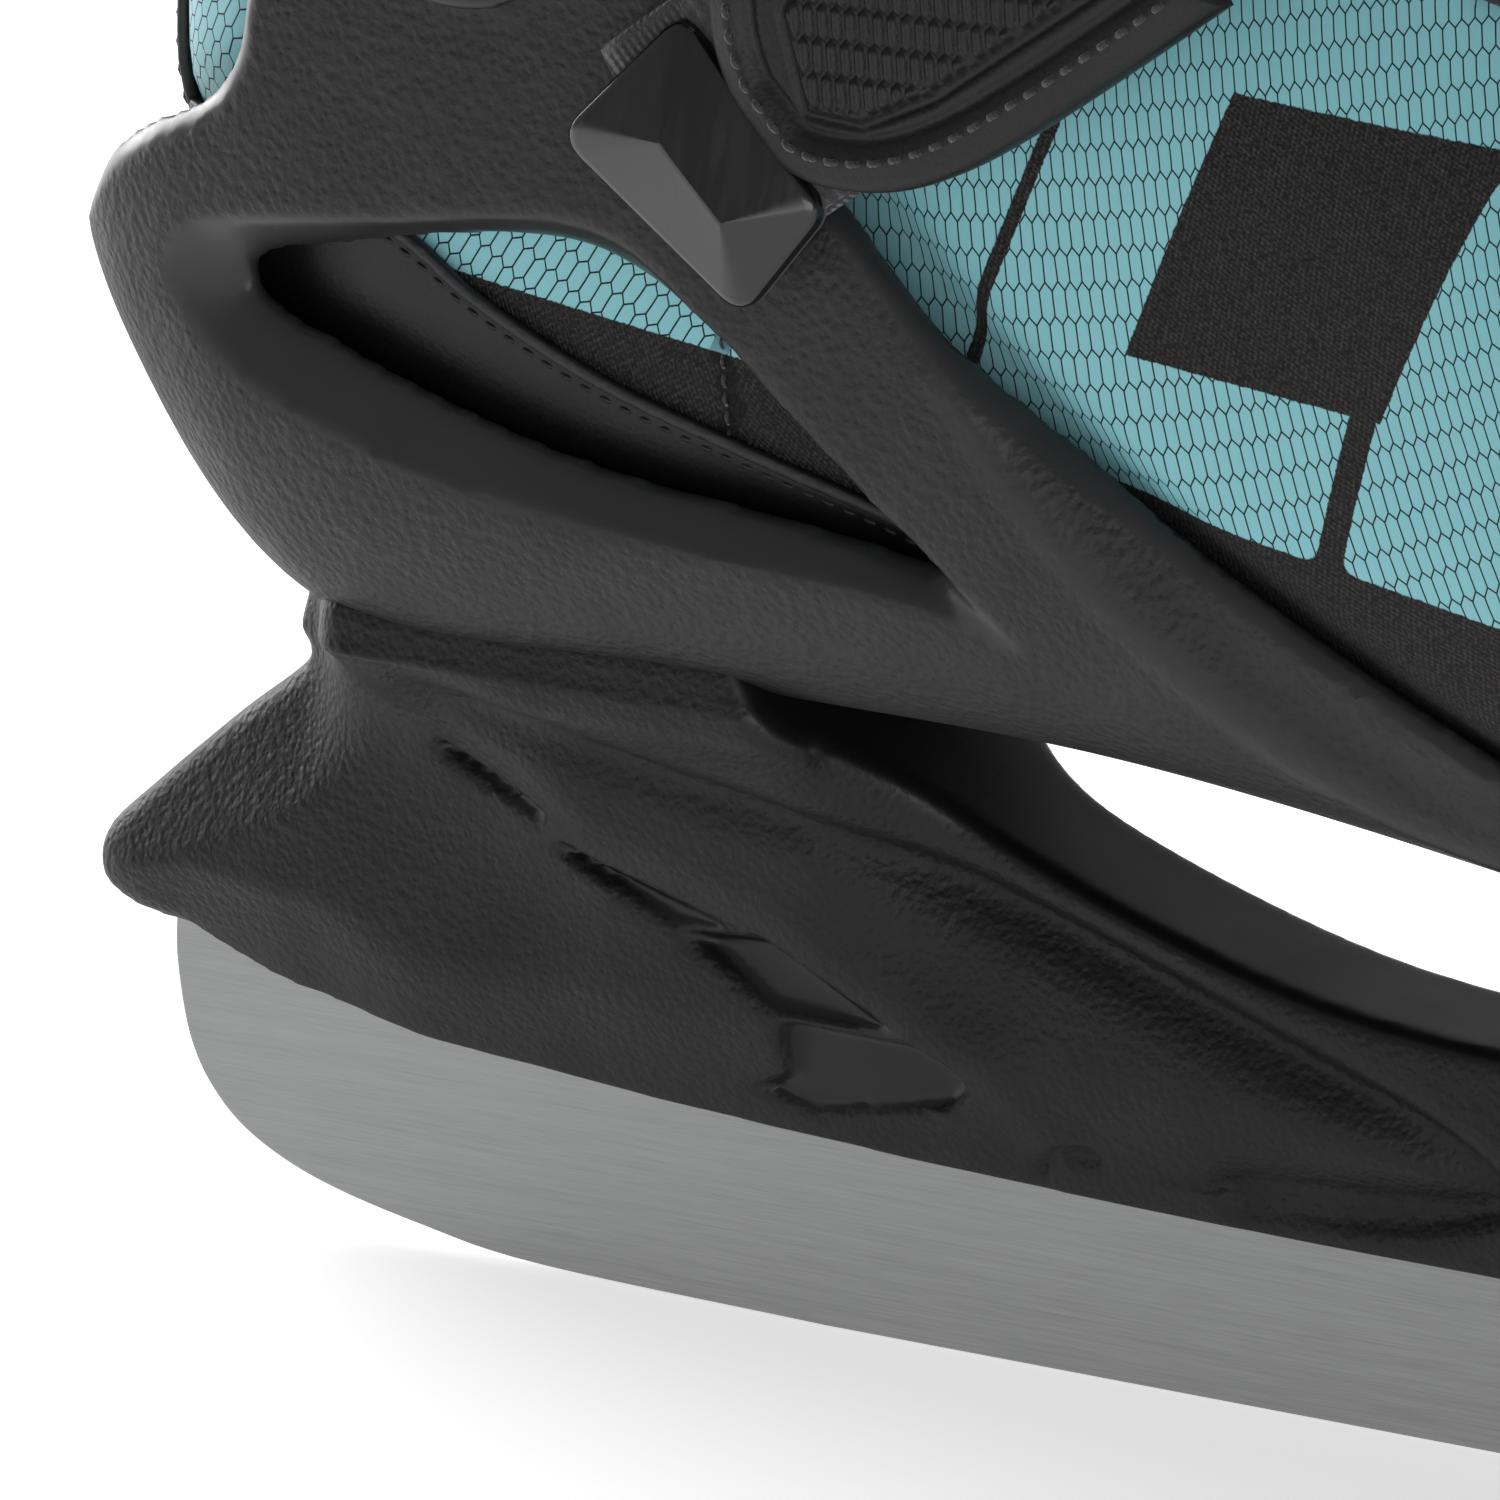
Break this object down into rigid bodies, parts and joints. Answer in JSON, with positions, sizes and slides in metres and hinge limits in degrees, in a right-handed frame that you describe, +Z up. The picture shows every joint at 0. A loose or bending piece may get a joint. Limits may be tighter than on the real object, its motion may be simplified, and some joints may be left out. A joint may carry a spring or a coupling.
{
  "type": "ice skate",
  "caption": "Recreational ice skate: steel runner in a moulded holder, open-sided shell with strut and window, soft mesh boot, hinged cuff, ratchet buckle and instep strap.",
  "frame": {"origin": "contact point of the runner with the ice, under the middle of the runner", "axes": "+X to the toe, -Y to the outer (lateral) side of this right-foot skate, +Z up"},
  "size_m": [0.3088, 0.1174, 0.298],
  "materials": {
    "blade": "long brushed, polished running edge",
    "holder_plastic": "leather-grain moulded",
    "shell_plastic": "fine-grain moulded with smooth bevels",
    "cuff_plastic": "fine-grain moulded",
    "gloss_black": "glossy moulded",
    "buckle_plastic": "satin moulded",
    "strap_nylon": "toothed flexible nylon",
    "steel_hardware": "zinc plated",
    "black_hardware": "black coated",
    "spring_steel": "bright wire",
    "boot_fabric": "teal film under black elongated-hexagon mesh",
    "black_textile": "black knit and ribbed webbing",
    "black_leather": "smooth synthetic leather, stitched",
    "liner": "brushed knit lining",
    "webbing": "ribbed webbing with hook-and-loop"
  },
  "bodies": {
    "skate": {"blade": "blade", "blade_holder": "holder_plastic", "blade_bolts": "steel_hardware", "blade_nuts": "steel_hardware", "shell": "shell_plastic", "heel_rivets": "steel_hardware", "sole_rivets": "steel_hardware", "boot_lower": "boot_fabric", "tongue_base": "black_textile", "heel_counter": "black_leather", "toe_bumper": "black_leather", "footbed": "liner", "lace_loops": "webbing", "cuff_pivots": "black_hardware", "strap_webbing": "webbing", "strap_return": "webbing", "strap_cap": "gloss_black", "strap_rivets": "steel_hardware", "strap_ring": "black_hardware"},
    "cuff": {"cuff": "cuff_plastic", "boot_collar": "boot_fabric", "tongue_leg": "black_textile", "lace_hooks": "black_hardware", "pull_tab": "webbing", "ladder_strap": "strap_nylon", "ladder_rivet": "black_hardware", "buckle_base": "buckle_plastic", "buckle_rivets": "steel_hardware", "lever_pin": "steel_hardware", "pawl_pin": "steel_hardware", "pawl_spring": "spring_steel"},
    "lever": {"buckle_lever": "buckle_plastic"},
    "pawl": {"buckle_pawl": "buckle_plastic"},
    "strap_end": {"strap_end": "black_leather"}
  },
  "joints": [
    {"name": "cuff_hinge", "type": "hinge", "parent": "skate", "child": "cuff", "pos_m": [-0.084, 0, 0.152], "axis": [0, 1, 0], "range_deg": [-6, 13], "stiffness_Nm_per_rad": 12},
    {"name": "buckle_lever_hinge", "type": "hinge", "parent": "cuff", "child": "lever", "pos_m": [-0.053, -0.058, 0.226], "axis": [0, 0, 1], "range_deg": [0, 75]},
    {"name": "release_pawl_hinge", "type": "hinge", "parent": "cuff", "child": "pawl", "pos_m": [-0.075, -0.057, 0.226], "axis": [0, 0, -1], "range_deg": [0, 10], "stiffness_Nm_per_rad": 0.05, "springref_deg": -8.59},
    {"name": "strap_peel", "type": "hinge", "parent": "skate", "child": "strap_end", "pos_m": [-0.01004, -0.0453, 0.1633], "axis": [-0.5878, 0, 0.809], "range_deg": [0, 100]}
  ]
}
